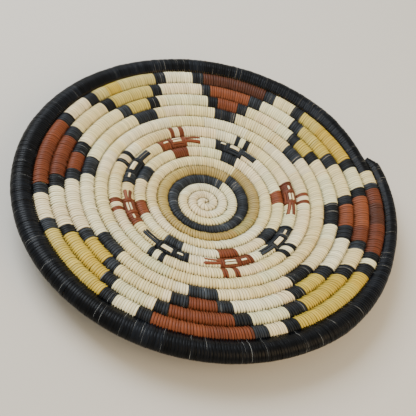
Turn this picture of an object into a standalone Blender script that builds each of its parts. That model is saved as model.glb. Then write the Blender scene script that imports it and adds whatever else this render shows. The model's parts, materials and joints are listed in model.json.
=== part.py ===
"""Coiled plaque: one spiral bundle, sewn over with natural strips and with fields of dyed ones.

Metres, +Z up, face up. The bundle grows outward anticlockwise, seen from the face. A place along
it is a turn value: whole turns plus the share of the next one, counted from REFERENCE_BEARING.
"""
import math

import bmesh
import bpy
import numpy as np
from mathutils import Matrix

MM = 0.001
HALF_TURN = 0.5

# The spiral: the outer edge of the coil leaves the centre at CENTRE_TURN
CENTRE_TURN = 0.5
START_TURN = 0.75
FIRST_WHOLE_TURN = 1
TIP_TURN = 15.995
REFERENCE_BEARING = 35
START_PITCH = 6.87 * MM
PITCH_GROWTH = 0.389 * MM
CENTRE_HOLE_RADIUS = 0.5 * MM
COIL_GAP = 0.6 * MM

# The dish: flat in the middle, where the plaque stands, then rising, then level under the rim
FLAT_RADIUS = 21 * MM
LEVEL_RADIUS = 128 * MM
DISH_DEPTH = 17.2 * MM
DISH_POWER = 1.05

# The coil's section, as shares of its width and height
HEIGHT_SHARE = 0.84
CREST_SHARE = 0.46
FOOT_SHARE = 0.5
BITE_HEIGHT_SHARE = 0.3

# Corners of that section that meet the turns beside it, counted up the inner side
INNER_FOOT = 0
INNER_TOP = 1
OUTER_TOP = 4
OUTER_FOOT = 5

# The dyed wraps round the bundle
WRAP_THICKNESS = 1.3 * MM
WRAP_CLEARANCE = 0.3 * MM
FIELD_GAP = 0.3 * MM
STEP_BITE = 1.6 * MM

# The rim swells past the other turns, thins towards its end and is closed off bluntly
RIM_WIDTH = 14.9 * MM
THIN_RIM_WIDTH = 9.6 * MM
TIP_WIDTH = 3.5 * MM
RIM_SWELL_START = 15.0
RIM_SWELL_TURNS = 0.05
RIM_THINNING = (15.79, 15.885)
TIP_TAPER_START = 15.984
BUNDLE_END_TURN = 15.95

# Facets: stations round a turn, fewer near the centre
STATIONS = 24
CENTRE_STATIONS = 12
FINE_FROM_TURN = 4
BUNDLE_SIDES = 6
LEAST_STEP = 0.5 * MM
SMOOTH_ANGLE = 50

# Where the strips change colour along the bundle
BLACK_RING_START = 4.09
TAN_RING_START = 5.09
TAN_RING_END = 6.09
RIM_START = 14.9775

# The stepped fields: colour, then the bearings where the colour starts and ends on the turns
# below, and the black block beside it on the outermost of them
FIELD_TURNS = (14, 13, 12)
OUTLINE_BLOCK = 4.5
TERRACES = (
    ("yellow", (34.0, 39.5, 44.0), (61.0, 56.5, 52.5)),
    ("red", (78.5, 83.5, 87.5), (104.5, 101.5, 97.5)),
    ("yellow", (124.5, 128.0, 132.0), (151.0, 147.0, 142.5)),
    ("red", (170.0, 175.0, 181.0), (200.5, 195.5, 190.5)),
    ("yellow", (220.0, 223.0, 227.5), (247.5, 243.5, 239.0)),
    ("red", (264.0, 268.0, 274.0), (294.5, 289.5, 284.5)),
    ("yellow", (309.0, 315.0, 319.5), (340.0, 335.0, 330.0)),
    ("red", (350.0, 353.5, 360.0), (379.0, 375.5, 371.5)),
)
# The rim takes over soon after the last field, whose end block is narrower
LAST_END_BLOCK = 2.6
LAST_TERRACE_START_BLOCK = 3.2

# The birds: colour, bearing where the body starts and the span of the body
BIRD_TURN = 8
BIRDS = (
    ("black", 71.0, 24.0),
    ("red", 119.0, 23.0),
    ("black", 164.0, 25.5),
    ("red", 204.5, 22.0),
    ("black", 246.5, 23.0),
    ("red", 289.5, 22.5),
    ("black", 329.0, 22.5),
    ("red", 372.0, 19.0),
)
BIRD_BODY_SHARES = (0.0, 1.0)
BIRD_WING_SHARES = (0.04, 0.7)
BIRD_FOOT_SHARES = ((0.0, 0.15), (0.3, 0.44))

NATURAL = "natural strip"
COLOURS = {
    NATURAL: (0xDA, 0xD2, 0xBE),
    "black": (0x2A, 0x2E, 0x38),
    "rim black": (0x1C, 0x20, 0x26),
    "tan": (0xC8, 0xAF, 0x76),
    "red": (0xA5, 0x55, 0x37),
    "yellow": (0xDA, 0xBE, 0x69),
}
STRIP_ROUGHNESS = 0.55


def clear_scene():
    for thing in list(bpy.data.objects):
        bpy.data.objects.remove(thing, do_unlink=True)


def linear(channel):
    """One sRGB channel, 0 to 255, as the linear value that a shader takes."""
    value = channel / 255
    if value <= 0.04045:
        return value / 12.92
    return ((value + 0.055) / 1.055) ** 2.4


def strip_material(name, colour):
    material = bpy.data.materials.new(name)
    material.use_nodes = True
    shader = material.node_tree.nodes["Principled BSDF"]
    rgb = [linear(channel) for channel in COLOURS[colour]]
    shader.inputs["Base Color"].default_value = (*rgb, 1)
    shader.inputs["Roughness"].default_value = STRIP_ROUGHNESS
    shader.inputs["Metallic"].default_value = 0
    return material


def ramp(value):
    return min(max(value, 0), 1)


def edge_radius(turn):
    """Radius of the coil's outer edge, which is the inner edge one turn later."""
    wound = max(turn - CENTRE_TURN, 0)
    return START_PITCH * wound + PITCH_GROWTH / 2 * wound ** 2


def edge_pitch(turn):
    return START_PITCH + PITCH_GROWTH * max(turn - CENTRE_TURN, 0)


def full_width(turn):
    """Width of the coil before the start and the tip are drawn thin."""
    width = edge_pitch(turn - HALF_TURN)
    swell = ramp((turn - RIM_SWELL_START) / RIM_SWELL_TURNS)
    return width + (RIM_WIDTH - width) * swell


def coil_width(turn):
    if turn < RIM_SWELL_START:
        return edge_radius(turn) - max(edge_radius(turn - 1), CENTRE_HOLE_RADIUS)
    turns = (*RIM_THINNING, TIP_TAPER_START, TIP_TURN)
    return float(np.interp(turn, turns, (full_width(turn), THIN_RIM_WIDTH, THIN_RIM_WIDTH, TIP_WIDTH)))


def dish_height(radius):
    climb = ramp((radius - FLAT_RADIUS) / (LEVEL_RADIUS - FLAT_RADIUS))
    return DISH_DEPTH * climb ** DISH_POWER


def coil_frame(turn):
    """Centre radius, half width, height, and lift of a thinned section, at one turn value."""
    inner = max(edge_radius(turn - 1), CENTRE_HOLE_RADIUS)
    width = coil_width(turn)
    height = HEIGHT_SHARE * width
    lift = max(HEIGHT_SHARE * full_width(turn) - height, 0) / 2
    return inner + width / 2, (width - COIL_GAP) / 2, height, lift


def section_profile(turn):
    """The coil's outline as eight (radius, height) points, up the inner side and over the top."""
    centre, half, height, lift = coil_frame(turn)
    inner_rise = HEIGHT_SHARE * edge_pitch(turn - 1) / 2
    outer_rise = HEIGHT_SHARE * edge_pitch(turn) / 2
    if turn > RIM_SWELL_START:
        outer_rise = lift + height / 2
    wall = BITE_HEIGHT_SHARE * height / 2
    offsets = (
        (-half, inner_rise - wall),
        (-half, inner_rise + wall),
        (-CREST_SHARE * half, lift + height),
        (CREST_SHARE * half, lift + height),
        (half, outer_rise + wall),
        (half, outer_rise - wall),
        (FOOT_SHARE * half, lift),
        (-FOOT_SHARE * half, lift),
    )
    return [(centre + across, dish_height(centre + across) + up) for across, up in offsets]


def bundle_profile(turn, clearance):
    """The thinner bundle inside a dyed wrap, or the wrap's bore when given a clearance."""
    centre, half, height, lift = coil_frame(turn)
    across = half - WRAP_THICKNESS + clearance
    up = height / 2 - WRAP_THICKNESS + clearance
    points = []
    for side in range(BUNDLE_SIDES):
        angle = math.pi - math.tau * side / BUNDLE_SIDES
        radius = centre + across * math.cos(angle)
        middle = dish_height(radius) + lift + height / 2
        points.append((radius, middle + up * math.sin(angle)))
    return points


def turn_angle(turn):
    return math.radians(REFERENCE_BEARING) + math.tau * turn


def turn_at(row, bearing):
    """Turn value of a bearing, in degrees, on one row of the coil."""
    return row + (bearing - REFERENCE_BEARING) / 360


def turns_for(length, turn):
    """A length along the coil as a difference in turns."""
    return length / (math.tau * coil_frame(turn)[0])


def placed(profile, turn):
    angle = turn_angle(turn)
    return np.array([(r * math.cos(angle), r * math.sin(angle), z) for r, z in profile])


def make_stations():
    """The turn values that carry a section, from the centre tip to the outer tip."""
    stations = []
    for step in range(round(START_TURN * STATIONS), math.floor(TIP_TAPER_START * STATIONS) + 1):
        fine = step >= FINE_FROM_TURN * STATIONS
        if fine or step % (STATIONS // CENTRE_STATIONS) == 0:
            stations.append(step / STATIONS)
    return stations + [TIP_TAPER_START, TIP_TURN]


TURN_STATIONS = make_stations()


def between_stations(profile_of, turn):
    """A section at any turn value, on the straight facets between two stations."""
    after = next((i for i, s in enumerate(TURN_STATIONS) if s >= turn), len(TURN_STATIONS) - 1)
    high = TURN_STATIONS[after]
    if high == turn or after == 0:
        return placed(profile_of(high), high)
    low = TURN_STATIONS[after - 1]
    share = (turn - low) / (high - low)
    start = placed(profile_of(low), low)
    end = placed(profile_of(high), high)
    return start * (1 - share) + end * share


def outside(turn):
    return between_stations(section_profile, turn)


def bundle(turn):
    return between_stations(lambda t: bundle_profile(t, 0), turn)


def bore(turn):
    return between_stations(lambda t: bundle_profile(t, WRAP_CLEARANCE), turn)


def columns_between(start, end):
    """The ends of a stretch and the stations inside it that aren't too close to an end."""
    least = turns_for(LEAST_STEP, max(start, FIRST_WHOLE_TURN))
    inside = [s for s in TURN_STATIONS if start + least < s < end - least]
    return [start] + inside + [end]


class Shell:
    """Points and faces of one piece, gathered before its mesh is made."""

    def __init__(self):
        self.points = []
        self.faces = []

    def line(self, points):
        first = len(self.points)
        self.points.extend(tuple(point) for point in points)
        return list(range(first, len(self.points)))

    def ring_lines(self, section_of, columns):
        """One line of (turn, point) pairs along each corner of a section."""
        rings = [self.line(section_of(turn)) for turn in columns]
        return [list(zip(columns, corner)) for corner in zip(*rings)]

    def zip_lines(self, first, second, skip=()):
        """Faces between two lines of (turn, point) pairs, however many points each has."""
        i = 0
        j = 0
        while i < len(first) - 1 or j < len(second) - 1:
            next_i = first[i + 1][0] if i < len(first) - 1 else math.inf
            next_j = second[j + 1][0] if j < len(second) - 1 else math.inf
            a, b = first[i][1], second[j][1]
            middle = (first[i][0] + min(next_i, next_j)) / 2
            if next_i == next_j:
                face = (a, b, second[j + 1][1], first[i + 1][1])
                i += 1
                j += 1
            elif next_i < next_j:
                face = (a, b, first[i + 1][1])
                i += 1
            else:
                face = (a, b, second[j + 1][1])
                j += 1
            if not any(low < middle < high for low, high in skip):
                self.faces.append(face)

    def zip_rings(self, outer, inner):
        """A flat end between the outline and the bundle, each a list of point numbers."""
        middle = np.mean([self.points[p] for p in inner], axis=0)
        out = np.array(self.points[outer[OUTER_TOP]]) - self.points[outer[INNER_TOP]]
        out[2] = 0
        out /= np.linalg.norm(out)

        def clock(point):
            arm = np.array(self.points[point]) - middle
            return (math.pi - math.atan2(arm[2], arm @ out)) % math.tau

        loops = []
        for ring in (outer, inner):
            order = sorted((clock(point), point) for point in ring)
            loops.append(order + [(order[0][0] + math.tau, order[0][1])])
        self.zip_lines(*loops)

    def zip_tube(self, lines, skips=None):
        for k, line in enumerate(lines):
            skip = skips.get(k, ()) if skips else ()
            self.zip_lines(line, lines[(k + 1) % len(lines)], skip)

    def make_object(self, name, colour):
        mesh = bpy.data.meshes.new(name)
        mesh.from_pydata(self.points, [], self.faces)
        shaped = bmesh.new()
        shaped.from_mesh(mesh)
        bmesh.ops.recalc_face_normals(shaped, faces=shaped.faces)
        shaped.to_mesh(mesh)
        shaped.free()
        mesh.shade_smooth()
        mesh.set_sharp_from_angle(angle=math.radians(SMOOTH_ANGLE))
        mesh.materials.append(strip_material(name, colour))
        made = bpy.data.objects.new(name, mesh)
        bpy.context.collection.objects.link(made)
        return made


class Run:
    """One stretch of wrap along the coil, with the places where stitches bite its neighbours."""

    def __init__(self, start, end):
        self.start = start
        self.end = end
        self.inner_bites = []
        self.outer_bites = []

    def add_to(self, shell):
        columns = columns_between(self.start, self.end)
        lines = shell.ring_lines(outside, columns)
        for corner, bites in (
            (INNER_FOOT, self.inner_bites),
            (INNER_TOP, self.inner_bites),
            (OUTER_TOP, self.outer_bites),
            (OUTER_FOOT, self.outer_bites),
        ):
            known = {turn for turn, _ in lines[corner]}
            extra = {turn for bite in bites for turn in bite} - known
            for turn in sorted(extra):
                point = shell.line([outside(turn)[corner]])[0]
                lines[corner].append((turn, point))
            lines[corner].sort()
        shell.zip_tube(lines, {INNER_FOOT: self.inner_bites, OUTER_TOP: self.outer_bites})
        self.lines = lines
        self.add_bore(shell, columns)

    def add_bore(self, shell, columns):
        outlines = [[line[end][1] for line in self.lines] for end in (0, -1)]
        if self.end < TIP_TURN:
            inner_lines = shell.ring_lines(bore, columns)
            shell.zip_rings(outlines[1], [line[-1][1] for line in inner_lines])
        else:
            last = BUNDLE_END_TURN + turns_for(WRAP_CLEARANCE, BUNDLE_END_TURN)
            inner_lines = shell.ring_lines(bore, columns_between(self.start, last))
            shell.faces.append(tuple(outlines[1]))
            shell.faces.append(tuple(line[-1][1] for line in inner_lines))
        shell.zip_tube(inner_lines)
        shell.zip_rings(outlines[0], [line[0][1] for line in inner_lines])


def add_bites(runs):
    """Mark where two runs of one field lie side by side, so that they are sewn together."""
    for inner in runs:
        for outer in runs:
            low = max(inner.start, outer.start - 1)
            high = min(inner.end, outer.end - 1)
            if high - low > turns_for(LEAST_STEP, inner.end):
                inner.outer_bites.append((low, high))
                outer.inner_bites.append((low + 1, high + 1))
                yield inner, outer, low, high


def part_of_line(line, low, high):
    return [(turn, point) for turn, point in line if low <= turn <= high]


def field_object(name, colour, stretches):
    """One dyed field: its runs of wrap, joined where the stitches of one bite the next."""
    half_gap = FIELD_GAP / 2
    runs = []
    for start, end in stretches:
        trim_end = 0 if end >= TIP_TURN else turns_for(half_gap, end)
        runs.append(Run(start + turns_for(half_gap, start), end - trim_end))
    shell = Shell()
    bites = list(add_bites(runs))
    for run in runs:
        run.add_to(shell)
    for inner, outer, low, high in bites:
        sides = []
        for inner_corner, outer_corner in ((OUTER_TOP, INNER_TOP), (OUTER_FOOT, INNER_FOOT)):
            near = part_of_line(inner.lines[inner_corner], low, high)
            far = part_of_line(outer.lines[outer_corner], low + 1, high + 1)
            shell.zip_lines(near, [(turn - 1, point) for turn, point in far])
            sides.append((near, far))
        (near_top, far_top), (near_foot, far_foot) = sides
        for end in (0, -1):
            corners = (near_top, far_top, far_foot, near_foot)
            shell.faces.append(tuple(line[end][1] for line in corners))
    return shell.make_object(name, colour)


def terrace_stretches(number):
    """Turn values of one stepped field: its colour rows, and its black outline blocks."""
    _, starts, ends = TERRACES[number]
    last = number == len(TERRACES) - 1
    rows = [(turn_at(t, a), turn_at(t, b)) for t, a, b in zip(FIELD_TURNS, starts, ends)]
    first_block = LAST_TERRACE_START_BLOCK if last else OUTLINE_BLOCK
    end_block = LAST_END_BLOCK if last else OUTLINE_BLOCK
    blocks = [
        (turn_at(FIELD_TURNS[0], starts[0] - first_block), rows[0][0]),
        (rows[0][1], turn_at(FIELD_TURNS[0], ends[0] + end_block)),
    ]
    for (outer_start, outer_end), (start, end) in zip(rows, rows[1:]):
        bite = turns_for(STEP_BITE, end)
        blocks.append((outer_start - 1 - bite, start))
        blocks.append((end, outer_end - 1 + bite))
    start, end = rows[-1]
    bite = turns_for(STEP_BITE, end - 1)
    blocks.append((start - 1 - bite, end - 1 + bite))
    return rows, blocks


def bird_stretches(bearing, span):
    def stretch(row, shares):
        return tuple(turn_at(row, bearing + span * share) for share in shares)

    body = stretch(BIRD_TURN, BIRD_BODY_SHARES)
    wing = stretch(BIRD_TURN - 1, BIRD_WING_SHARES)
    feet = [stretch(BIRD_TURN + 1, shares) for shares in BIRD_FOOT_SHARES]
    return [body, wing, *feet]


def dyed_fields():
    """Every dyed field: its name, its colour and its stretches along the coil."""
    fields = [
        ("centre_ring_black", "black", [(BLACK_RING_START, TAN_RING_START)]),
        ("centre_ring_tan", "tan", [(TAN_RING_START, TAN_RING_END)]),
        ("rim_wrap", "rim black", [(RIM_START, TIP_TURN)]),
    ]
    for number, (colour, _, _) in enumerate(TERRACES):
        rows, blocks = terrace_stretches(number)
        fields.append((f"terrace_{number + 1}_colour", colour, rows))
        fields.append((f"terrace_{number + 1}_outline", "black", blocks))
    for number, (colour, bearing, span) in enumerate(BIRDS):
        fields.append((f"bird_{number + 1}", colour, bird_stretches(bearing, span)))
    return fields


def dyed_stretches(fields):
    """All dyed stretches in order along the coil, with those that touch run into one."""
    stretches = sorted(stretch for _, _, parts in fields for stretch in parts)
    merged = [list(stretches[0])]
    for start, end in stretches[1:]:
        if start - merged[-1][1] < turns_for(LEAST_STEP, start):
            merged[-1][1] = max(end, merged[-1][1])
        else:
            merged.append([start, end])
    return merged


def ground_object(fields):
    """The unbroken bundle: full size where it is sewn in natural, thinner inside each wrap."""
    shell = Shell()
    start = START_TURN
    inner_end = None
    for dyed_start, dyed_end in dyed_stretches(fields):
        half_gap = turns_for(FIELD_GAP / 2, dyed_start)
        lines = shell.ring_lines(outside, columns_between(start, dyed_start - half_gap))
        shell.zip_tube(lines)
        first = [line[0][1] for line in lines]
        last = [line[-1][1] for line in lines]
        if inner_end is None:
            shell.faces.append(tuple(first))
        else:
            shell.zip_rings(first, inner_end)
        start = dyed_end + turns_for(FIELD_GAP / 2, dyed_end)
        thin_end = min(start, BUNDLE_END_TURN)
        thin = shell.ring_lines(bundle, columns_between(dyed_start - half_gap, thin_end))
        shell.zip_tube(thin)
        shell.zip_rings(last, [line[0][1] for line in thin])
        inner_end = [line[-1][1] for line in thin]
    shell.faces.append(tuple(inner_end))
    return shell.make_object("ground_coil", NATURAL)


def least_turn_gap():
    """Least distance between points on neighbouring turns, on the two sides of their gap."""
    probes = np.linspace(START_TURN, TIP_TURN - 1, STATIONS * round(TIP_TURN) * 4)
    near = np.array([outside(turn)[OUTER_TOP] for turn in probes])
    far = np.array([outside(turn + 1)[INNER_TOP] for turn in probes])
    steps = range(-STATIONS // 4, STATIONS // 4 + 1)
    rolled = [np.linalg.norm(near - np.roll(far, step, axis=0), axis=1) for step in steps]
    return min(float(distances[STATIONS:-STATIONS].min()) for distances in rolled)


def stand_on_origin(pieces):
    """Move every mesh so that the origin lies under the middle of the whole plaque."""
    corners = np.array([vertex.co for piece in pieces for vertex in piece.data.vertices])
    low = corners.min(axis=0)
    high = corners.max(axis=0)
    shift = Matrix.Translation((-(low[0] + high[0]) / 2, -(low[1] + high[1]) / 2, 0))
    for piece in pieces:
        piece.data.transform(shift)


clear_scene()
all_fields = dyed_fields()
all_pieces = [ground_object(all_fields)]
for field_name, field_colour, field_stretches in all_fields:
    all_pieces.append(field_object(field_name, field_colour, field_stretches))
stand_on_origin(all_pieces)
print(f"Least gap between turns of the coil: {least_turn_gap() / MM:.2f} mm")
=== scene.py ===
"""Coiled plaque: one grass bundle wound in a spiral and sewn over with strips of split leaf.

Metres, +Z up, face up. The bundle grows outward anticlockwise, seen from the face. A place along
it is a turn value: whole turns plus the share of the next one, counted from REFERENCE_BEARING.
"""
import json
import math

import bpy
import numpy as np
from mathutils import Matrix, Vector

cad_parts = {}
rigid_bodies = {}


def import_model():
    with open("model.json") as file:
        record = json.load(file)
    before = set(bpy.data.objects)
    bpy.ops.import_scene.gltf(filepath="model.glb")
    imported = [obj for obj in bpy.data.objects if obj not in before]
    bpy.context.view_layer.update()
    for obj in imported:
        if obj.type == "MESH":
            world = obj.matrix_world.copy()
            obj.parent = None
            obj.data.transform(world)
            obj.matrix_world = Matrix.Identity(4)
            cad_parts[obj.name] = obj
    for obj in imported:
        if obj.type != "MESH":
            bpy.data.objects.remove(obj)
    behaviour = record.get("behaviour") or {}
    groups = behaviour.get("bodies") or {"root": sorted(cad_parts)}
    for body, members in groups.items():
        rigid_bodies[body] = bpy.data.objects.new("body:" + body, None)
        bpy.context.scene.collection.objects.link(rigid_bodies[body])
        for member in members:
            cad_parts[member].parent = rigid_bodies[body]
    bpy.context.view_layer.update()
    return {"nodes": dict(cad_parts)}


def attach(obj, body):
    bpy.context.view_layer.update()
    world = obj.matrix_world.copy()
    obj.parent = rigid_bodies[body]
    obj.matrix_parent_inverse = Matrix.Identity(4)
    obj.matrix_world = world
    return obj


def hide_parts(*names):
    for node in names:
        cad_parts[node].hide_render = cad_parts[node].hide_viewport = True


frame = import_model()
MM = 0.001

# The bundle: a rope of dry grass stems as thick as a pencil, wound from the centre outward in one
# piece and tapered off at the rim. The sewing hides it, but for glimpses between the strips at
# the shoulder of each turn.
REFERENCE_BEARING = 35
CENTRE_TURN = 0.5
HALF_TURN = 0.5
START_TURN = 0.75
TIP_TURN = 15.995
START_PITCH = 6.87 * MM
PITCH_GROWTH = 0.389 * MM
CENTRE_HOLE_RADIUS = 0.5 * MM
HEIGHT_SHARE = 0.84
FLAT_RADIUS = 21 * MM
LEVEL_RADIUS = 128 * MM
DISH_DEPTH = 17.2 * MM
DISH_POWER = 1.05
RIM_WIDTH = 14.9 * MM
THIN_RIM_WIDTH = 9.6 * MM
TIP_WIDTH = 3.5 * MM
RIM_SWELL_START = 15.0
RIM_SWELL_TURNS = 0.05
RIM_THINNING = (15.79, 15.885)
TIP_TAPER_START = 15.984
# The solids keep a gap between their turns, and are swept through so many stations a turn.
CAD_COIL_GAP = 0.6 * MM
CAD_STATIONS = 24
BUNDLE_STATIONS = 48
BUNDLE_SIDES = 12
BUNDLE_SHARE = 0.8
GRASS_COLOURS = ("#7A6740", "#A8925F")
GRASS_STEM_WIDTH = 0.6 * MM
GRASS_ROUGHNESS = 0.8
# The sRGB curve: a short straight line, then a power.
SRGB_LINE_END = 0.04045
SRGB_LINE_SLOPE = 12.92
SRGB_OFFSET = 0.055
SRGB_POWER = 2.4


def ramp(value):
    """The value, kept between 0 and 1."""
    return min(max(value, 0), 1)


def edge_radius(turn):
    """Radius of the coil's outer edge, which is the inner edge one turn later."""
    wound = max(turn - CENTRE_TURN, 0)
    return START_PITCH * wound + PITCH_GROWTH / 2 * wound ** 2


def full_width(turn):
    """Width of the coil before the start and the tip are drawn thin."""
    width = START_PITCH + PITCH_GROWTH * max(turn - HALF_TURN - CENTRE_TURN, 0)
    swell = ramp((turn - RIM_SWELL_START) / RIM_SWELL_TURNS)
    return width + (RIM_WIDTH - width) * swell


def coil_width(turn):
    """Width of the coil at a turn value, with the start and the tip drawn thin."""
    if turn < RIM_SWELL_START:
        return edge_radius(turn) - max(edge_radius(turn - 1), CENTRE_HOLE_RADIUS)
    turns = (*RIM_THINNING, TIP_TAPER_START, TIP_TURN)
    widths = (full_width(turn), THIN_RIM_WIDTH, THIN_RIM_WIDTH, TIP_WIDTH)
    return float(np.interp(turn, turns, widths))


def dish_height(radius):
    """How far the dish has risen at a radius."""
    climb = ramp((radius - FLAT_RADIUS) / (LEVEL_RADIUS - FLAT_RADIUS))
    return DISH_DEPTH * climb ** DISH_POWER


def coil_frame(turn):
    """Centre radius, half width, half height, and lift of a thinned section, at one turn value."""
    width = coil_width(turn)
    height = HEIGHT_SHARE * width
    lift = max(HEIGHT_SHARE * full_width(turn) - height, 0) / 2
    inner = max(edge_radius(turn - 1), CENTRE_HOLE_RADIUS)
    return inner + width / 2, width / 2, height / 2, lift


def turn_angle(turn):
    """The bearing of a turn value, in radians."""
    return math.radians(REFERENCE_BEARING) + math.tau * turn


def find_spiral_centre():
    """The spiral isn't a circle, so its centre lies a little off the middle of the frame's box."""
    first, last = RIM_SWELL_START * CAD_STATIONS, TIP_TAPER_START * CAD_STATIONS
    steps = np.arange(first, math.floor(last) + 1) / CAD_STATIONS
    edge = []
    for turn in (*steps, TIP_TAPER_START, TIP_TURN):
        centre, half, _, _ = coil_frame(turn)
        reach = centre + half - CAD_COIL_GAP / 2
        edge.append((reach * math.cos(turn_angle(turn)), reach * math.sin(turn_angle(turn))))
    return -(np.min(edge, axis=0) + np.max(edge, axis=0)) / 2


spiral_x, spiral_y = find_spiral_centre()


def coil_middle(turn):
    """The middle of the coil's section, in the frame."""
    centre, _, half_height, lift = coil_frame(turn)
    angle = turn_angle(turn)
    height = dish_height(centre) + lift + half_height
    return (spiral_x + centre * math.cos(angle), spiral_y + centre * math.sin(angle), height)


def add_node(tree, kind, settings=None, inputs=None):
    """One node of a tree, with its settings, and a value or another node's output per input."""
    node = tree.nodes.new(kind)
    for name, value in (settings or {}).items():
        setattr(node, name, value)
    for socket, value in (inputs or {}).items():
        if isinstance(value, bpy.types.NodeSocket):
            tree.links.new(value, node.inputs[socket])
        else:
            node.inputs[socket].default_value = value
    return node


def new_tree(name, kinds):
    """A geometry tree with named inputs of these kinds, and what its two end nodes hold."""
    tree = bpy.data.node_groups.new(name, "GeometryNodeTree")
    for label, kind in {"Geometry": "Geometry", **kinds}.items():
        tree.interface.new_socket(label, in_out="INPUT", socket_type=f"NodeSocket{kind}")
    tree.interface.new_socket("Geometry", in_out="OUTPUT", socket_type="NodeSocketGeometry")
    given = add_node(tree, "NodeGroupInput").outputs
    return tree, given, add_node(tree, "NodeGroupOutput").inputs


def run_tree(name, mesh, tree, values):
    """A plain mesh object: what the tree makes of the mesh with these values."""
    piece = bpy.data.objects.new(name, mesh)
    bpy.context.scene.collection.objects.link(piece)
    modifier = piece.modifiers.new(tree.name, "NODES")
    modifier.node_group = tree
    for item in tree.interface.items_tree:
        if item.in_out == "INPUT" and item.name in values:
            modifier[item.identifier] = values[item.name]
    shaped = piece.evaluated_get(bpy.context.evaluated_depsgraph_get())
    made = bpy.data.meshes.new_from_object(shaped)
    piece.modifiers.clear()
    piece.data = made
    made.name = name
    return piece


def linear_colour(code):
    """An sRGB hex colour as the linear one that a shader takes."""
    linear = []
    for place in (1, 3, 5):
        channel = int(code[place:place + 2], 16) / 255
        if channel <= SRGB_LINE_END:
            linear.append(channel / SRGB_LINE_SLOPE)
        else:
            linear.append(((channel + SRGB_OFFSET) / (1 + SRGB_OFFSET)) ** SRGB_POWER)
    return (*linear, 1)


def set_ramp(node, codes):
    """Spreads the colours evenly over a colour ramp."""
    elements = node.color_ramp.elements
    while len(elements) < len(codes):
        elements.new(1)
    for place, code in enumerate(codes):
        elements[place].position = place / (len(codes) - 1)
        elements[place].color = linear_colour(code)


def dry_grass_material():
    """Dry grass stems: matt straw brown, with darker gaps between them in the bundle's shade."""
    material = bpy.data.materials.new("dry_grass_stems")
    material.use_nodes = True
    tree = material.node_tree
    shader = tree.nodes["Principled BSDF"]
    place = add_node(tree, "ShaderNodeTexCoord").outputs["Object"]
    stems = add_node(
        tree, "ShaderNodeTexNoise", None, {"Vector": place, "Scale": 1 / GRASS_STEM_WIDTH}
    )
    colour = add_node(tree, "ShaderNodeValToRGB", None, {"Fac": stems.outputs["Fac"]})
    set_ramp(colour, GRASS_COLOURS)
    tree.links.new(colour.outputs["Color"], shader.inputs["Base Color"])
    shader.inputs["Roughness"].default_value = GRASS_ROUGHNESS
    return material


def grass_tree():
    """Sweeps an oval section along the coil's line, as wide and as tilted as its points say."""
    kinds = {"Sides": "Int", "Height share": "Float", "Finish": "Material"}
    tree, given, result = new_tree("wind_grass_bundle", kinds)
    read = "GeometryNodeInputNamedAttribute"
    width = add_node(tree, read, {"data_type": "FLOAT"}, {"Name": "half_width"})
    slope = add_node(tree, read, {"data_type": "FLOAT"}, {"Name": "slope"})
    line = add_node(tree, "GeometryNodeMeshToCurve", None, {"Mesh": given["Geometry"]})
    level = add_node(
        tree, "GeometryNodeSetCurveNormal", {"mode": "Z_UP"}, {"Curve": line.outputs[0]}
    )
    tilted = add_node(
        tree,
        "GeometryNodeSetCurveTilt",
        None,
        {"Curve": level.outputs[0], "Tilt": slope.outputs["Attribute"]},
    )
    ring = add_node(tree, "GeometryNodeCurvePrimitiveCircle", None, {"Resolution": given["Sides"]})
    shares = add_node(
        tree, "ShaderNodeCombineXYZ", None, {"X": 1.0, "Y": given["Height share"], "Z": 1.0}
    )
    section = add_node(
        tree,
        "GeometryNodeTransform",
        None,
        {"Geometry": ring.outputs[0], "Scale": shares.outputs[0]},
    )
    swept = add_node(
        tree,
        "GeometryNodeCurveToMesh",
        None,
        {
            "Curve": tilted.outputs[0],
            "Profile Curve": section.outputs[0],
            "Scale": width.outputs["Attribute"],
            "Fill Caps": True,
        },
    )
    whole = add_node(tree, "GeometryNodeRealizeInstances", None, {"Geometry": swept.outputs[0]})
    finished = add_node(
        tree,
        "GeometryNodeSetMaterial",
        None,
        {"Geometry": whole.outputs[0], "Material": given["Finish"]},
    )
    tree.links.new(finished.outputs[0], result["Geometry"])
    return tree


def bundle_line():
    """The coil's own line, from the centre to the tip, with its half width and its slope."""
    steps = range(round(START_TURN * BUNDLE_STATIONS), round(TIP_TURN * BUNDLE_STATIONS) + 1)
    turns = [min(step / BUNDLE_STATIONS, TIP_TURN) for step in steps]
    mesh = bpy.data.meshes.new("grass_bundle")
    links = [(step, step + 1) for step in range(len(turns) - 1)]
    mesh.from_pydata([coil_middle(turn) for turn in turns], links, [])
    halves = []
    slopes = []
    for turn in turns:
        centre, half, _, _ = coil_frame(turn)
        fall = dish_height(centre - half) - dish_height(centre + half)
        halves.append(half * BUNDLE_SHARE)
        slopes.append(math.atan2(fall, 2 * half))
    for name, numbers in (("half_width", halves), ("slope", slopes)):
        mesh.attributes.new(name, "FLOAT", "POINT").data.foreach_set("value", numbers)
    return mesh


bundle_sizes = {
    "Sides": BUNDLE_SIDES,
    "Height share": HEIGHT_SHARE,
    "Finish": dry_grass_material(),
}
grass_bundle = run_tree("grass_bundle", bundle_line(), grass_tree(), bundle_sizes)
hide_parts("ground_coil")
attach(grass_bundle, "root")

# The natural sewing: undyed strips of split leaf, each passed over the bundle, down behind it and
# through the shoulder of the turn inside, hundreds of times a turn. A strip lasts for a dozen
# stitches or so, and the next one is a little whiter, pinker or greener.
STITCH_PITCH = 2 * MM
STITCH_WIDTH_SPREAD = 0.2
STITCHES_PER_STRIP = (7, 20)
STITCH_LEAN = 0.25
STITCH_LEAN_SPREAD = 0.25
STITCH_LEAN_STEP = 0.07
STITCH_SWELL_SPREAD = 0.012
COIL_SWELL_SPREAD = 0.02
COIL_SWELL_STEP = 0.008
STRIP_OVERLAP = 0.53
STRIP_CROWN_SHARE = 0.45
STRIP_FOOT = 0.96
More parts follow.
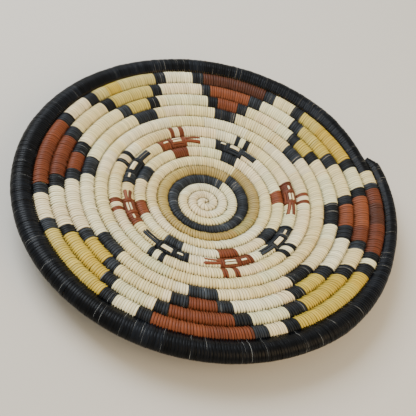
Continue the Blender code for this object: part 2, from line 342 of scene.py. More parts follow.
# A bite has a reach, a height and a width share. Three kinds keep the notches uneven.
BITES = ((1.06, 0.3, 0.7), (1.14, 0.3, 0.7), (1.24, 0.32, 0.6))
STITCH_SHAPES = (0, len(BITES))
ROUND_FROM = 148
ROUND_STEPS = 13
SHOULDER_SPREAD = 48
SHOULDER_WIDTH_SHARE = 0.45
LEAST_RADIUS = 0.25 * MM
STRIP_CORNERS = 4
STRIP_MIDDLE = 0.5
CORNER_CROSSINGS = (0, 0.3, 0.7, 1)
NATURAL_COLOURS = ("#DCC68C", "#E5D79E", "#E5D0A2", "#EAE1B8", "#DFD9A6")
NATURAL_PIECE_ENDS = (9, 12.5)
# The leaf's fibres are finer than the render shows, so they are drawn as coarse as it needs.
FIBRES_ACROSS = 5
FIBRES_ALONG = 3
STRIPS_APART = 60
SAME_PLACE = 0.0005
PATCH_SIZE = 45 * MM
# Every strip is drawn darker towards its edges: painted shade, with some dirt, where one strip
# meets the next.
SEAM_SPAN = (0.25, 0.5)
SEAM_SHARE = 0.78
SHADE_RANGE = (0.85, 1.08)
PATCH_SPAN = (0.35, 0.65)
PATCH_RANGE = (0.93, 1.05)
FIBRE_SPAN = (0.3, 0.7)
FIBRE_RANGE = (0.92, 1.06)
STRIP_ROUGHNESS = (0.42, 0.62)
STRIP_GLOSS = 0.4
FIBRE_RELIEF = 0.1 * MM
# A strip is drawn darker away from its crest, towards its outer shoulder and its bite: painted
# shade, with some dust, in the grooves between the turns.
SHOULDER_PLACE = 0.4
CREST_PLACE = 0.24
GROOVE_SPAN = (0.15, 0.24)
GROOVE_SHADE = 0.5
STRAND_PLACES = (0.6, 0.7)
# A pale streak along one edge of a strip is partly a raw edge that the dye missed, partly a painted
# highlight.
STREAK_WIDTH = 0.24
STREAK_BREAK = (0.5, 0.65)
STREAK_COLOUR = "#B5B3AA"
# A Mix node's colour sockets share their names with others, so they go by number.
MIX_COLOUR_INPUTS = (6, 7)
MIX_COLOUR_OUTPUT = 2

STRIP_SIZES = ("bearing", "step", "centre", "drift", "half", "half_height", "lift", "lean")
COIL_SIZES = {
    "Spiral X": float(spiral_x),
    "Spiral Y": float(spiral_y),
    "Least radius": LEAST_RADIUS,
    "Flat radius": FLAT_RADIUS,
    "Dish run": LEVEL_RADIUS - FLAT_RADIUS,
    "Dish depth": DISH_DEPTH,
    "Dish power": DISH_POWER,
}

# How a point of a strip finds its place: each line has a sum's name, operation and terms.
WRAP_SUMS = (
    ("line", "MULTIPLY_ADD", "along", "drift", "centre"),
    ("reach", "MULTIPLY_ADD", "across", "half", "line"),
    ("radius", "MAXIMUM", "reach", "Least radius"),
    ("leaning", "MULTIPLY_ADD", "across", "lean", "along"),
    ("angle", "MULTIPLY_ADD", "leaning", "step", "bearing"),
    ("past flat", "SUBTRACT", "radius", "Flat radius"),
    ("dished", "MAXIMUM", "past flat", "none"),
    ("share", "DIVIDE", "dished", "Dish run"),
    ("climb", "MINIMUM", "share", "whole"),
    ("rise", "POWER", "climb", "Dish power"),
    ("floor", "MULTIPLY_ADD", "rise", "Dish depth", "lift"),
    ("middle", "ADD", "floor", "half_height"),
    ("height", "MULTIPLY_ADD", "up", "half_height", "middle"),
    ("cosine", "COSINE", "angle"),
    ("sine", "SINE", "angle"),
    ("x", "MULTIPLY_ADD", "radius", "cosine", "Spiral X"),
    ("y", "MULTIPLY_ADD", "radius", "sine", "Spiral Y"),
)

strip_shapes = bpy.data.collections.new("strip_shapes")


def add_shape(name, points, closed):
    """A strip through rings of four points, with its own map: across and along, both 0 to 1.

    One that doesn't go round the coil lies on its crest, and its map keeps to that.
    """
    rings = len(points) // STRIP_CORNERS
    first_place, last_place = (0, 1) if closed else STRAND_PLACES
    faces = []
    places = []
    for ring in range(rings if closed else rings - 1):
        near = ring * STRIP_CORNERS
        far = (ring + 1) % rings * STRIP_CORNERS
        low, high = (
            first_place + (last_place - first_place) * step / rings for step in (ring, ring + 1)
        )
        for corner in range(STRIP_CORNERS):
            beside = (corner + 1) % STRIP_CORNERS
            faces.append((near + corner, near + beside, far + beside, far + corner))
            first, second = CORNER_CROSSINGS[corner], CORNER_CROSSINGS[beside]
            places += [(first, low), (second, low), (second, high), (first, high)]
    if not closed:
        last = (rings - 1) * STRIP_CORNERS
        faces.append(tuple(reversed(range(STRIP_CORNERS))))
        faces.append(tuple(range(last, last + STRIP_CORNERS)))
        places += [(crossing, first_place) for crossing in reversed(CORNER_CROSSINGS)]
        places += [(crossing, last_place) for crossing in CORNER_CROSSINGS]
    mesh = bpy.data.meshes.new(name)
    mesh.from_pydata(points, [], faces)
    mesh.uv_layers.new(name="strip").data.foreach_set("uv", np.array(places, float).ravel())
    mesh.shade_smooth()
    strip_shapes.objects.link(bpy.data.objects.new(name, mesh))


def stitch_points(shoulder_share, foot, crown_share, bite):
    """One stitch's way round the coil: half widths across, stitch steps along, half heights up.

    A strip is squeezed at the outer shoulder, where the next turn's strips are pulled in. Its own
    bite into the turn inside has a reach, a height and a width share.
    """
    way = []
    for step in range(ROUND_STEPS):
        angle = ROUND_FROM * (2 * step / (ROUND_STEPS - 1) - 1)
        turned = math.radians(angle)
        clear = ramp(abs(angle) / SHOULDER_SPREAD)
        width = shoulder_share + (1 - shoulder_share) * clear
        way.append((math.cos(turned), math.sin(turned), width))
    reach, height, bite_share = bite
    way.append((-reach, height, bite_share))
    way.append((-reach, -height, bite_share))
    points = []
    for across, up, width in way:
        half = width * STRIP_OVERLAP
        crown = half * crown_share
        points.append((across * foot, -half, up * foot))
        points.append((across, -crown, up))
        points.append((across, crown, up))
        points.append((across * foot, half, up * foot))
    return points


def wrap_place(tree, given):
    """Where each point of the strips goes, from its own place and the sizes its strip carries."""
    read = "GeometryNodeInputNamedAttribute"
    known = {size: given[size] for size in COIL_SIZES}
    for name in STRIP_SIZES:
        found = add_node(tree, read, {"data_type": "FLOAT"}, {"Name": name})
        known[name] = found.outputs["Attribute"]
    position = add_node(tree, "GeometryNodeInputPosition")
    own = add_node(tree, "ShaderNodeSeparateXYZ", None, {0: position.outputs[0]}).outputs
    known.update({"across": own["X"], "along": own["Y"], "up": own["Z"], "none": 0.0, "whole": 1.0})
    for name, operation, *terms in WRAP_SUMS:
        inputs = {place: known[term] for place, term in enumerate(terms)}
        node = add_node(tree, "ShaderNodeMath", {"operation": operation, "label": name}, inputs)
        known[name] = node.outputs[0]
    place = {"X": known["x"], "Y": known["y"], "Z": known["height"]}
    return add_node(tree, "ShaderNodeCombineXYZ", None, place).outputs[0]


def sewing_tree():
    """Puts a strip shape on every point and wraps it round the coil, by the point's own sizes."""
    kinds = {"Shapes": "Collection", **{size: "Float" for size in COIL_SIZES}, "Finish": "Material"}
    tree, given, result = new_tree("sew_strips_round_coil", kinds)
    number = add_node(
        tree, "GeometryNodeInputNamedAttribute", {"data_type": "INT"}, {"Name": "shape"}
    )
    shapes = add_node(
        tree,
        "GeometryNodeCollectionInfo",
        None,
        {"Collection": given["Shapes"], "Separate Children": True, "Reset Children": True},
    )
    placed = add_node(
        tree,
        "GeometryNodeInstanceOnPoints",
        None,
        {
            "Points": given["Geometry"],
            "Instance": shapes.outputs[0],
            "Pick Instance": True,
            "Instance Index": number.outputs["Attribute"],
        },
    )
    strips = add_node(tree, "GeometryNodeRealizeInstances", None, {"Geometry": placed.outputs[0]})
    wrapped = add_node(
        tree,
        "GeometryNodeSetPosition",
        None,
        {"Geometry": strips.outputs[0], "Position": wrap_place(tree, given)},
    )
    whole = add_node(tree, "GeometryNodeRealizeInstances", None, {"Geometry": wrapped.outputs[0]})
    finished = add_node(
        tree,
        "GeometryNodeSetMaterial",
        None,
        {"Geometry": whole.outputs[0], "Material": given["Finish"]},
    )
    tree.links.new(finished.outputs[0], result["Geometry"])
    return tree


def coil_length(start, end):
    """The way along the coil's middle between two turn values that lie near each other."""
    return (end - start) * math.tau * coil_frame((start + end) / 2)[0]


def drift(value, step, limit, draw):
    """The next value of a slow random walk about nothing, kept within its limit."""
    return min(max(value + step * draw.uniform(-1, 1), -limit), limit)


def row_of_stitches(start, end, seed, tones=(0, 1), shapes=STITCH_SHAPES):
    """Stitches side by side between two turn values, with the place, size and tone of each."""
    draw = np.random.default_rng(seed)
    ends = [start]
    while ends[-1] < end:
        width = STITCH_PITCH * (1 + STITCH_WIDTH_SPREAD * draw.uniform(-1, 1))
        ends.append(ends[-1] + width / (math.tau * coil_frame(ends[-1])[0]))
    stretch = (end - start) / (ends[-1] - start)
    ends = [start + (place - start) * stretch for place in ends]
    left = 0
    lean_drift = 0
    swell_drift = 0
    stitches = []
    for low, high in zip(ends, ends[1:]):
        if left == 0:
            left = draw.integers(*STITCHES_PER_STRIP)
            tone = draw.uniform(*tones)
        left -= 1
        lean_drift = drift(lean_drift, STITCH_LEAN_STEP, STITCH_LEAN_SPREAD, draw)
        swell_drift = drift(swell_drift, COIL_SWELL_STEP, COIL_SWELL_SPREAD, draw)
        stitches.append(
            {
                "turn": (low + high) / 2,
                "step": math.tau * (high - low),
                "lean": STITCH_LEAN + lean_drift,
                "swell": 1 + swell_drift + STITCH_SWELL_SPREAD * draw.uniform(-1, 1),
                "tone": tone,
                "shade": draw.uniform(),
                "shape": draw.integers(*shapes),
            }
        )
    return stitches


def radius_drift(turn, step):
    """How far the coil's middle moves outward along a strip's own length."""
    half_step = step / math.tau / 2
    ends = (max(turn - half_step, START_TURN), min(turn + half_step, TIP_TURN))
    return coil_frame(ends[1])[0] - coil_frame(ends[0])[0]


def strip_points(name, strips):
    """Loose points, one for each strip, with the sizes of the coil there and the strip's own."""
    mesh = bpy.data.meshes.new(name)
    mesh.from_pydata([(0, 0, 0)] * len(strips), [], [])
    own = ("step", "lean", "tone", "shade")
    columns = {label: [strip[label] for strip in strips] for label in own}
    columns["bearing"] = [turn_angle(strip["turn"] % 1) for strip in strips]
    sizes = np.array([coil_frame(strip["turn"]) for strip in strips])
    swells = np.array([strip["swell"] for strip in strips])
    columns["centre"] = sizes[:, 0]
    columns["drift"] = [radius_drift(strip["turn"], strip["step"]) for strip in strips]
    columns["half"] = sizes[:, 1] * swells
    columns["half_height"] = sizes[:, 2] * swells
    columns["lift"] = sizes[:, 3]
    for label, numbers in columns.items():
        mesh.attributes.new(label, "FLOAT", "POINT").data.foreach_set("value", np.array(numbers))
    shapes = mesh.attributes.new("shape", "INT", "POINT")
    shapes.data.foreach_set("value", [strip["shape"] for strip in strips])
    return mesh


def sew(name, strips, finish, slot, *nodes):
    """One piece of sewing from its strips. Only what its finish reads stays on its mesh."""
    values = {"Shapes": strip_shapes, **COIL_SIZES, "Finish": finish}
    piece = run_tree(name, strip_points(name, strips), sewing, values)
    for label in (*STRIP_SIZES, "shape"):
        piece.data.attributes.remove(piece.data.attributes[label])
    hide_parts(*nodes)
    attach(piece, "root")


def distance_from(tree, value, place):
    """How far a shader's value lies from a place, on either side."""
    offset = add_node(tree, "ShaderNodeMath", {"operation": "SUBTRACT"}, {0: value, 1: place})
    size = add_node(tree, "ShaderNodeMath", {"operation": "ABSOLUTE"}, {0: offset.outputs[0]})
    return size.outputs[0]


def strip_fibres(tree, own_map, shade):
    """Noise drawn out along each strip, on its own map, and different on every strip."""
    apart = add_node(tree, "ShaderNodeCombineXYZ", None, {"X": shade, "Y": shade, "Z": shade})
    shifted = add_node(
        tree,
        "ShaderNodeVectorMath",
        {"operation": "MULTIPLY_ADD"},
        {0: apart.outputs[0], 1: (STRIPS_APART,) * 3, 2: own_map},
    )
    stretched = add_node(
        tree,
        "ShaderNodeMapping",
        None,
        {"Vector": shifted.outputs[0], "Scale": (FIBRES_ACROSS, FIBRES_ALONG, 1)},
    )
    noise = add_node(
        tree, "ShaderNodeTexNoise", None, {"Vector": stretched.outputs[0], "Scale": 1.0}
    )
    return noise.outputs["Fac"]


def multiply_shares(tree, rows):
    """The product of shares, each read from where a value lies in its span."""
    product = None
    for value, (value_low, value_high), (low, high) in rows:
        spread = {"From Min": value_low, "From Max": value_high, "To Min": low, "To Max": high}
        share = add_node(tree, "ShaderNodeMapRange", None, {"Value": value, **spread}).outputs[0]
        if product is not None:
            share = add_node(
                tree, "ShaderNodeMath", {"operation": "MULTIPLY"}, {0: product, 1: share}
            ).outputs[0]
        product = share
    return product


def pale_streak(tree, shade, crossing, fibres, streaks):
    """Pale streaks on some strips' edges, broken by fibres: raw edges and painted highlights."""
    # The streak is partly a raw edge that the dye missed, partly a painted highlight along a
    # strip's edge.
    chosen = add_node(
        tree, "ShaderNodeMath", {"operation": "GREATER_THAN"}, {0: shade, 1: 1 - streaks}
    )
    streak_edge = add_node(
        tree, "ShaderNodeMath", {"operation": "LESS_THAN"}, {0: crossing, 1: STREAK_WIDTH}
    )
    streak_showing = add_node(
        tree,
        "ShaderNodeMapRange",
        None,
        {"Value": fibres, "From Min": STREAK_BREAK[0], "From Max": STREAK_BREAK[1]},
    )
    streak = chosen.outputs[0]
    for part in (streak_edge, streak_showing):
        both = {0: streak, 1: part.outputs[0]}
        streak = add_node(tree, "ShaderNodeMath", {"operation": "MULTIPLY"}, both).outputs[0]
    return streak


def strip_light(tree, shade, own_place, fibres, shades, seam):
    """How light a strip is at each point of it, beside its own colour."""
    place = add_node(tree, "ShaderNodeTexCoord").outputs["Object"]
    patches = add_node(tree, "ShaderNodeTexNoise", None, {"Vector": place, "Scale": 1 / PATCH_SIZE})
    # edge: painted shade, with some dirt, where one strip meets the next.
    edge = distance_from(tree, own_place["X"], STRIP_MIDDLE)
    # groove: painted shade, with some dust, in the grooves between the turns.
    groove = distance_from(tree, distance_from(tree, own_place["Y"], SHOULDER_PLACE), CREST_PLACE)
    rows = (
        (shade, (0, 1), shades),
        (patches.outputs["Fac"], PATCH_SPAN, PATCH_RANGE),
        (fibres, FIBRE_SPAN, FIBRE_RANGE),
        (edge, SEAM_SPAN, (1, seam)),
        (groove, GROOVE_SPAN, (1, GROOVE_SHADE)),
    )
    return multiply_shares(tree, rows)


def leaf_strip_material(
    name,
    colours,
    seam=SEAM_SHARE,
    shades=SHADE_RANGE,
    shine=STRIP_ROUGHNESS,
    gloss=STRIP_GLOSS,
    streaks=0,
):
    """Split leaf: satin, with fibres along the strip, darker at its edges, handled unevenly.

    Its edges are darker, with painted shade and some dirt where one strip meets the next. It is
    darker in the grooves between the turns, with painted shade and some dust. On a share of the
    strips, one edge shows a pale streak: partly a raw edge that the dye missed, partly a painted
    highlight.
    """
    material = bpy.data.materials.new(name)
    material.use_nodes = True
    tree = material.node_tree
    shader = tree.nodes["Principled BSDF"]
    tone = add_node(tree, "ShaderNodeAttribute", {"attribute_name": "tone"}).outputs["Fac"]
    shade = add_node(tree, "ShaderNodeAttribute", {"attribute_name": "shade"}).outputs["Fac"]
    colour = add_node(tree, "ShaderNodeValToRGB", None, {"Fac": tone})
    set_ramp(colour, colours)
    own_map = add_node(tree, "ShaderNodeUVMap", {"uv_map": "strip"}).outputs[0]
    own_place = add_node(tree, "ShaderNodeSeparateXYZ", None, {0: own_map}).outputs
    fibres = strip_fibres(tree, own_map, shade)
    light = strip_light(tree, shade, own_place, fibres, shades, seam)
    shaded = add_node(
        tree, "ShaderNodeHueSaturation", None, {"Value": light, "Color": colour.outputs["Color"]}
    )
    streak = pale_streak(tree, shade, own_place["X"], fibres, streaks)
    first, second = MIX_COLOUR_INPUTS
    streaked = add_node(
        tree,
        "ShaderNodeMix",
        {"data_type": "RGBA"},
        {"Factor": streak, first: shaded.outputs[0], second: linear_colour(STREAK_COLOUR)},
    )
    rough = add_node(
        tree, "ShaderNodeMapRange", None, {"Value": fibres, "To Min": shine[0], "To Max": shine[1]}
    )
    relief = add_node(tree, "ShaderNodeBump", None, {"Height": fibres, "Distance": FIBRE_RELIEF})
    tree.links.new(streaked.outputs[MIX_COLOUR_OUTPUT], shader.inputs["Base Color"])
    shader.inputs["Specular IOR Level"].default_value = gloss
    tree.links.new(rough.outputs[0], shader.inputs["Roughness"])
    tree.links.new(relief.outputs[0], shader.inputs["Normal"])
    return material


def dyed_stretches(*nodes):
    """The stretches of coil that these frame nodes cover, read from the edges of their sleeves."""
    found = []
    for node in nodes:
        mesh = frame["nodes"][node].data
        turns = [turn_of(vertex.co) for vertex in mesh.vertices]
        spans = [sorted((turns[a], turns[b])) for a, b in (edge.vertices for edge in mesh.edges)]
        found += [span for span in spans if SAME_PLACE < span[1] - span[0] < HALF_TURN]
    joined = []
    for low, high in sorted(found):
        if joined and low <= joined[-1][1] + SAME_PLACE:
            joined[-1][1] = max(high, joined[-1][1])
        else:
            joined.append([low, high])
    return joined


def turn_of(point):
    """The turn value of a point of the frame: its bearing, on the outermost turn it reaches.

    A solid is straight between its stations, so a point there lies a little inside the curve.
    """
    x, y = point[0] - spiral_x, point[1] - spiral_y
    share = (math.degrees(math.atan2(y, x)) - REFERENCE_BEARING) / 360 % 1
    facet_turn = (share * CAD_STATIONS % 1 - 0.5) / CAD_STATIONS
    bulge = math.cos(math.tau * facet_turn) / math.cos(math.pi / CAD_STATIONS)
    radius = math.hypot(x, y) * bulge
    turns = (share + whole for whole in range(int(TIP_TURN) + 1))
    on_coil = (turn for turn in turns if turn < TIP_TURN + SAME_PLACE)
    return max(turn for turn in on_coil if edge_radius(turn - 1) <= radius)


def natural_stretches():
    """What the dyed sleeves leave of the coil, up to the rim."""
    dyed = dyed_stretches(*(node for node in frame["nodes"] if node != "ground_coil"))
    starts = [START_TURN] + [high for _, high in dyed]
    ends = [low for low, _ in dyed]
    spans = zip(starts, ends)
    return [(low, high) for low, high in spans if coil_length(low, high) > STITCH_PITCH / 2]


for number, bite in enumerate(BITES):
    squeezed = stitch_points(SHOULDER_WIDTH_SHARE, STRIP_FOOT, STRIP_CROWN_SHARE, bite)
    add_shape(f"strip_{number:02d}_stitch", squeezed, True)
sewing = sewing_tree()
undyed_leaf = leaf_strip_material("undyed_split_leaf", NATURAL_COLOURS)
natural_rows = []
for number, (start, end) in enumerate(natural_stretches()):
    natural_rows += row_of_stitches(start, end, number)
lows = (START_TURN, *NATURAL_PIECE_ENDS)
highs = (*NATURAL_PIECE_ENDS, TIP_TURN)
for number, (low, high) in enumerate(zip(lows, highs), start=1):
    strips = [strip for strip in natural_rows if low <= strip["turn"] < high]
    sew(f"natural_sewing_{number}", strips, undyed_leaf, "natural_strip", "ground_coil")

# The two rings round the middle: one turn sewn with strips dyed blue-black, then one with strips
# dyed tan, which took the dye unevenly and left some of them pale or greenish.
BLUE_BLACK_COLOURS = ("#0F1214", "#181B1F", "#2B3035")
TAN_COLOURS = ("#8C743A", "#B0934C", "#9C864A", "#B39C55", "#968C52")
TAN_SEAM = 0.7
BLACK_SEAM = 0.55
# The blue-black strips' wide spread of lightness is partly random tone from strip to strip and
# partly a painted highlight on single strips.
BLACK_SHADES = (0.5, 1.6)
BLACK_SHINE = (0.45, 0.6)
BLACK_GLOSS = 0.18
# Pale streaks on the blue-black strips: partly raw edges that the dye missed, partly painted
# highlights.
BLACK_STREAKS = 0.18
BLACK_RING_TONE = 0.9
TONE_SPREAD = 0.25
BLACK_RING_SEED = 101
TAN_RING_SEED = 102


def sew_rows(
    name, finish, slot, node, seed, tones=None, spread=TONE_SPREAD, shapes=STITCH_SHAPES
):
    """Stitches over every stretch of coil that a node covers, inner rows first."""
    strips = []
    for number, (start, end) in enumerate(dyed_stretches(node)):
        tone = (0, 1) if tones is None else (tones[number] - spread, tones[number] + spread)
        strips += row_of_stitches(start, end, (seed, number), tone, shapes)
    sew(name, strips, finish, slot, node)


blue_black_leaf = leaf_strip_material(
    "blue_black_dyed_leaf",
    BLUE_BLACK_COLOURS,
    BLACK_SEAM,
    BLACK_SHADES,
    BLACK_SHINE,
    BLACK_GLOSS,
    BLACK_STREAKS,
)
tan_leaf = leaf_strip_material("tan_dyed_leaf", TAN_COLOURS, TAN_SEAM)
sew_rows(
    "black_ring_sewing",
    blue_black_leaf,
    "black_strip",
    "centre_ring_black",
    BLACK_RING_SEED,
    (BLACK_RING_TONE,),
)
sew_rows("tan_ring_sewing", tan_leaf, "tan_strip", "centre_ring_tan", TAN_RING_SEED)

# The eight birds: by turns blue-black and red-brown, worked on three turns. Strips laid along the
# coil over the sewing edge the body, fill its window, make the eye and trail as the tail.
BIRD_TURN = 8
BIRD_COUNT = 8
BIRD_SEED = 200
BAR_SEED = 300
RED_COLOURS = ("#4A2614", "#5E2D16", "#6D361A", "#804526")
RED_SEAM = 0.75
RED_GLOSS = 0.25
# A strip laid along the coil has an offset, or one at each end, and a half width, as shares of
# the coil's half width. Spans and bars are shares of the body's length, tails are in degrees.
STRAND_RINGS = 9
STRAND_TOP = 1.105
STRAND_FOOT = 1.03
STRAND_DIVE = 0.95
STRAND_CROWN_SHARE = 0.45
TAIL_TUCK = 0.1
BIRD_TONES = (0.35, 0.85)
TAIL_LENGTHS = (12.3, 11.6, 11.5, 8.4, 13.2, 10.9, 10.3, 10.3)
BAR_SWELL = 1.05
BODY_EDGES = ((-0.8, 0.15), (-0.5, 0.13), (0.84, 0.13))
BODY_EDGE_SPAN = (0.06, 0.62)
RED_WINDOW = ((-0.1, 0.18), (0.4, 0.18))
BLACK_WINDOW = ((-0.04, 0.2), (0.34, 0.2))
WINDOW_SPAN = (0.16, 0.5)
EYE = (0.1, 0.18)
EYE_SPAN = (0.65, 0.83)
BODY_BARS = ((0, 0.12), (0.52, 0.6), (0.93, 1))
RED_TAIL = ((-0.22, -0.46, 0.27), (0.22, 0.46, 0.27))
BLACK_TAIL = ((-0.28, -0.28, 0.27), (0.28, 0.28, 0.27))


def strand_points(near, far, half):
    """A strip laid along the coil, over its sewing, between two offsets, its ends tucked in."""
    points = []
    for ring in range(STRAND_RINGS):
        along = ring / (STRAND_RINGS - 1)
        middle = far + (near - far) * along
        tucked = ring in (0, STRAND_RINGS - 1)
        for side, top in ((-1, 0), (-STRAND_CROWN_SHARE, 1), (STRAND_CROWN_SHARE, 1), (1, 0)):
            across = middle + side * half
            swell = STRAND_DIVE if tucked else STRAND_TOP if top else STRAND_FOOT
            up = math.sqrt(max(1 - across ** 2, 0)) * swell
            points.append((across, along - STRIP_MIDDLE, up))
    return points


def add_strand(near, far, half):
    """A strand shape's number in the collection, which lists its shapes by name."""
    number = len(strip_shapes.objects)
    add_shape(f"strip_{number:02d}_strand", strand_points(near, far, half), False)
    return number


def strand(number, start, end, draw):
    """One strip laid along the coil, between two turn values, in the form that sew() takes."""
    return {
        "turn": (start + end) / 2,
        "step": math.tau * (end - start),
        "lean": 0,
        "swell": 1,
        "tone": draw.uniform(*BIRD_TONES),
        "shade": draw.uniform(),
        "shape": number,
    }


edge_strands = [add_strand(offset, offset, half) for offset, half in BODY_EDGES]
red_window = [add_strand(offset, offset, half) for offset, half in RED_WINDOW]
black_window = [add_strand(offset, offset, half) for offset, half in BLACK_WINDOW]
eye_strand = add_strand(EYE[0], EYE[0], EYE[1])
red_tail = [add_strand(*tail) for tail in RED_TAIL]
black_tail = [add_strand(*tail) for tail in BLACK_TAIL]


def sew_bird(number, finish, slot, window_strands, tail_strands):
    """A bird's sewing in its own colour, then its window and eye in undyed strips."""
    node = f"bird_{number}"
    draw = np.random.default_rng(BIRD_SEED + number)
    stretches = dyed_stretches(node)
    body_start, body_end = next(span for span in stretches if int(span[0]) == BIRD_TURN)
    length = body_end - body_start
    strips = []
    for row, (start, end) in enumerate(stretches):
        strips += row_of_stitches(start, end, (BIRD_SEED + number, row), BIRD_TONES)
    for low, high in BODY_BARS:
        start, end = body_start + low * length, body_start + high * length
        bars = row_of_stitches(start, end, (BAR_SEED, number), BIRD_TONES)
        strips += [{**bar, "swell": BAR_SWELL} for bar in bars]
    low, high = (body_start + share * length for share in BODY_EDGE_SPAN)
    strips += [strand(shape, low, high, draw) for shape in edge_strands]
    tail_start = body_start - TAIL_LENGTHS[number - 1] / 360
    tail_end = body_start + TAIL_TUCK * length
    strips += [strand(shape, tail_start, tail_end, draw) for shape in tail_strands]
    sew(f"bird_{number}_sewing", strips, finish, slot, node)
    low, high = (body_start + share * length for share in WINDOW_SPAN)
    marks = [strand(shape, low, high, draw) for shape in window_strands]
    low, high = (body_start + share * length for share in EYE_SPAN)
    marks.append(strand(eye_strand, low, high, draw))
    sew(f"bird_{number}_marks", marks, undyed_leaf, "natural_strip", node)


red_leaf = leaf_strip_material("red_brown_dyed_leaf", RED_COLOURS, RED_SEAM, gloss=RED_GLOSS)
for number in range(1, BIRD_COUNT + 1, 2):
    sew_bird(number, blue_black_leaf, "black_strip", black_window, black_tail)
    sew_bird(number + 1, red_leaf, "red_strip", red_window, red_tail)

# The eight stepped figures under the rim: by turns yellow and red, three rows narrowing inward,
# with blue-black steps beside them and a blue-black block on top. They are sewn in dyed strips
# as the coil comes round, so each row is a stretch of one turn.
TERRACE_COUNT = 8
FIELD_SEED = 400
STEP_SEED = 500
YELLOW_COLOURS = ("#B59E3A", "#C4A22A", "#C2A940", "#C9B970")
YELLOW_SEAM = 0.62
FIELD_SPREAD = 0.4
# A tone is a place on the colours' ramp: one for each row, the inner row first.
FIELD_TONES = (
    (0.6, 0.6, 0.5),
    (0.45, 0.55, 0.0),
    (0.6, 0.6, 0.6),
    (0.35, 0.6, 0.5),
    (0.3, 0.4, 0.7),
    (0.75, 0.7, 0.5),
    (0.3, 0.4, 0.4),
    (0.9, 0.7, 0.05),
)
yellow_leaf = leaf_strip_material("yellow_dyed_leaf", YELLOW_COLOURS, YELLOW_SEAM)
for number in range(1, TERRACE_COUNT + 1):
    field = (yellow_leaf, "yellow_strip") if number % 2 else (red_leaf, "red_strip")
    name = f"terrace_{number}"
    tones = FIELD_TONES[number - 1]
    sew_rows(f"{name}_field", *field, f"{name}_colour", FIELD_SEED + number, tones, FIELD_SPREAD)
    sew_rows(
        f"{name}_steps", blue_black_leaf, "black_strip", f"{name}_outline", STEP_SEED + number
    )

# The rim: the last turn, wider, sewn close with shiny black strips, and drawn thin at its end,
# where it lies against the turn inside. Its strips keep their width at the outer side, because
# no turn is sewn to it there.
RIM_COLOURS = ("#050608", "#090B0E", "#101318")
RIM_SHINE = (0.2, 0.55)
RIM_GLOSS = 0.11
# Many rim strips carry a pale streak: a few are raw edges that the dye missed, most are painted
# highlights along the strips' edges.
RIM_STREAKS = 0.24
RIM_SEAM = 0.6
RIM_STRIP_CROWN_SHARE = 0.7
RIM_STRIP_FOOT = 0.985
RIM_BITE = (1.22, 0.36, 0.5)
RIM_SEED = 600
rim_leaf = leaf_strip_material(
    "black_rim_leaf", RIM_COLOURS, RIM_SEAM, BLACK_SHADES, RIM_SHINE, RIM_GLOSS, RIM_STREAKS
)
rim_stitch = stitch_points(1, RIM_STRIP_FOOT, RIM_STRIP_CROWN_SHARE, RIM_BITE)
rim_shape = len(strip_shapes.objects)
rim_shapes = (rim_shape, rim_shape + 1)
add_shape(f"strip_{rim_shape:02d}_rim_stitch", rim_stitch, True)
sew_rows("rim_sewing", rim_leaf, "rim_black_strip", "rim_wrap", RIM_SEED, shapes=rim_shapes)

# The camera stands where the photograph was taken from: in front of the plaque and above it,
# rolled a little, with a long lens.
CAMERA_ELEVATION = math.radians(48.19)
CAMERA_ROLL = math.radians(15.75)
CAMERA_DISTANCE = 627.3 * MM
CAMERA_LENS = 69.23
CAMERA_SHIFT = (0.0073, -0.0115)
CAMERA_AIM_HEIGHT = 3.3 * MM

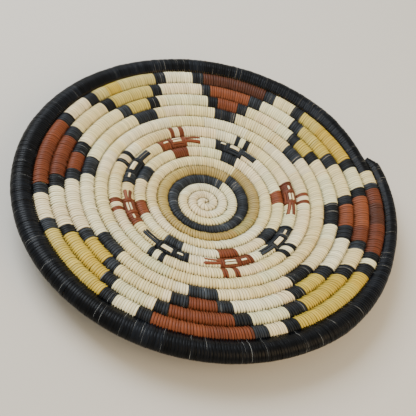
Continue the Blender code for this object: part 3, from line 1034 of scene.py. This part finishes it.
back = Vector((0, -math.cos(CAMERA_ELEVATION), math.sin(CAMERA_ELEVATION)))
right = Vector((1, 0, 0))
up = back.cross(right)
camera_x = right * math.cos(CAMERA_ROLL) + up * math.sin(CAMERA_ROLL)
camera_y = up * math.cos(CAMERA_ROLL) - right * math.sin(CAMERA_ROLL)
camera = bpy.data.objects.new("camera", bpy.data.cameras.new("camera"))
camera.data.lens = CAMERA_LENS
camera.data.shift_x, camera.data.shift_y = CAMERA_SHIFT
aim = Vector((spiral_x, spiral_y, CAMERA_AIM_HEIGHT))
camera.matrix_world = Matrix.Translation(aim + back * CAMERA_DISTANCE) @ Matrix(
    (camera_x, camera_y, back)
).transposed().to_4x4()
bpy.context.scene.collection.objects.link(camera)
bpy.context.scene.camera = camera

# The floor and the light: a pale matt floor, one large soft light from the upper left, a weaker
# one from the right and a pale surround. A lamp has a name, a place, a size, watts and a colour.
FLOOR_HALF = 3000 * MM
FLOOR_DROP = 0.3 * MM
FLOOR_COLOUR = "#C6C1B6"
FLOOR_ROUGHNESS = 0.9
FLOOR_CORNERS = ((-1, -1), (1, -1), (1, 1), (-1, 1))
SURROUND_COLOUR = "#F2EEE4"
SURROUND_STRENGTH = 0.88
LAMPS = (
    ("main_light", (-700 * MM, 500 * MM, 1100 * MM), 900 * MM, 29, "#ECF4FF"),
    ("fill_light", (900 * MM, -500 * MM, 800 * MM), 900 * MM, 12, "#FFDDAA"),
)

floor_mesh = bpy.data.meshes.new("floor")
corners = [(x * FLOOR_HALF, y * FLOOR_HALF, -FLOOR_DROP) for x, y in FLOOR_CORNERS]
floor_mesh.from_pydata(corners, [], [(0, 1, 2, 3)])
floor = bpy.data.objects.new("floor", floor_mesh)
bpy.context.scene.collection.objects.link(floor)
floor_paint = bpy.data.materials.new("matt_paper")
floor_paint.use_nodes = True
floor_shader = floor_paint.node_tree.nodes["Principled BSDF"]
floor_shader.inputs["Base Color"].default_value = linear_colour(FLOOR_COLOUR)
floor_shader.inputs["Roughness"].default_value = FLOOR_ROUGHNESS
floor_mesh.materials.append(floor_paint)

for name, place, size, power, colour in LAMPS:
    lamp = bpy.data.objects.new(name, bpy.data.lights.new(name, "AREA"))
    lamp.data.size = size
    lamp.data.energy = power
    lamp.data.color = linear_colour(colour)[:3]
    lamp.location = place
    lamp.rotation_euler = (aim - Vector(place)).to_track_quat("-Z", "Y").to_euler()
    bpy.context.scene.collection.objects.link(lamp)

surround = bpy.data.worlds.new("pale_surround")
surround.use_nodes = True
surround_light = surround.node_tree.nodes["Background"].inputs
surround_light["Color"].default_value = linear_colour(SURROUND_COLOUR)
surround_light["Strength"].default_value = SURROUND_STRENGTH
bpy.context.scene.world = surround
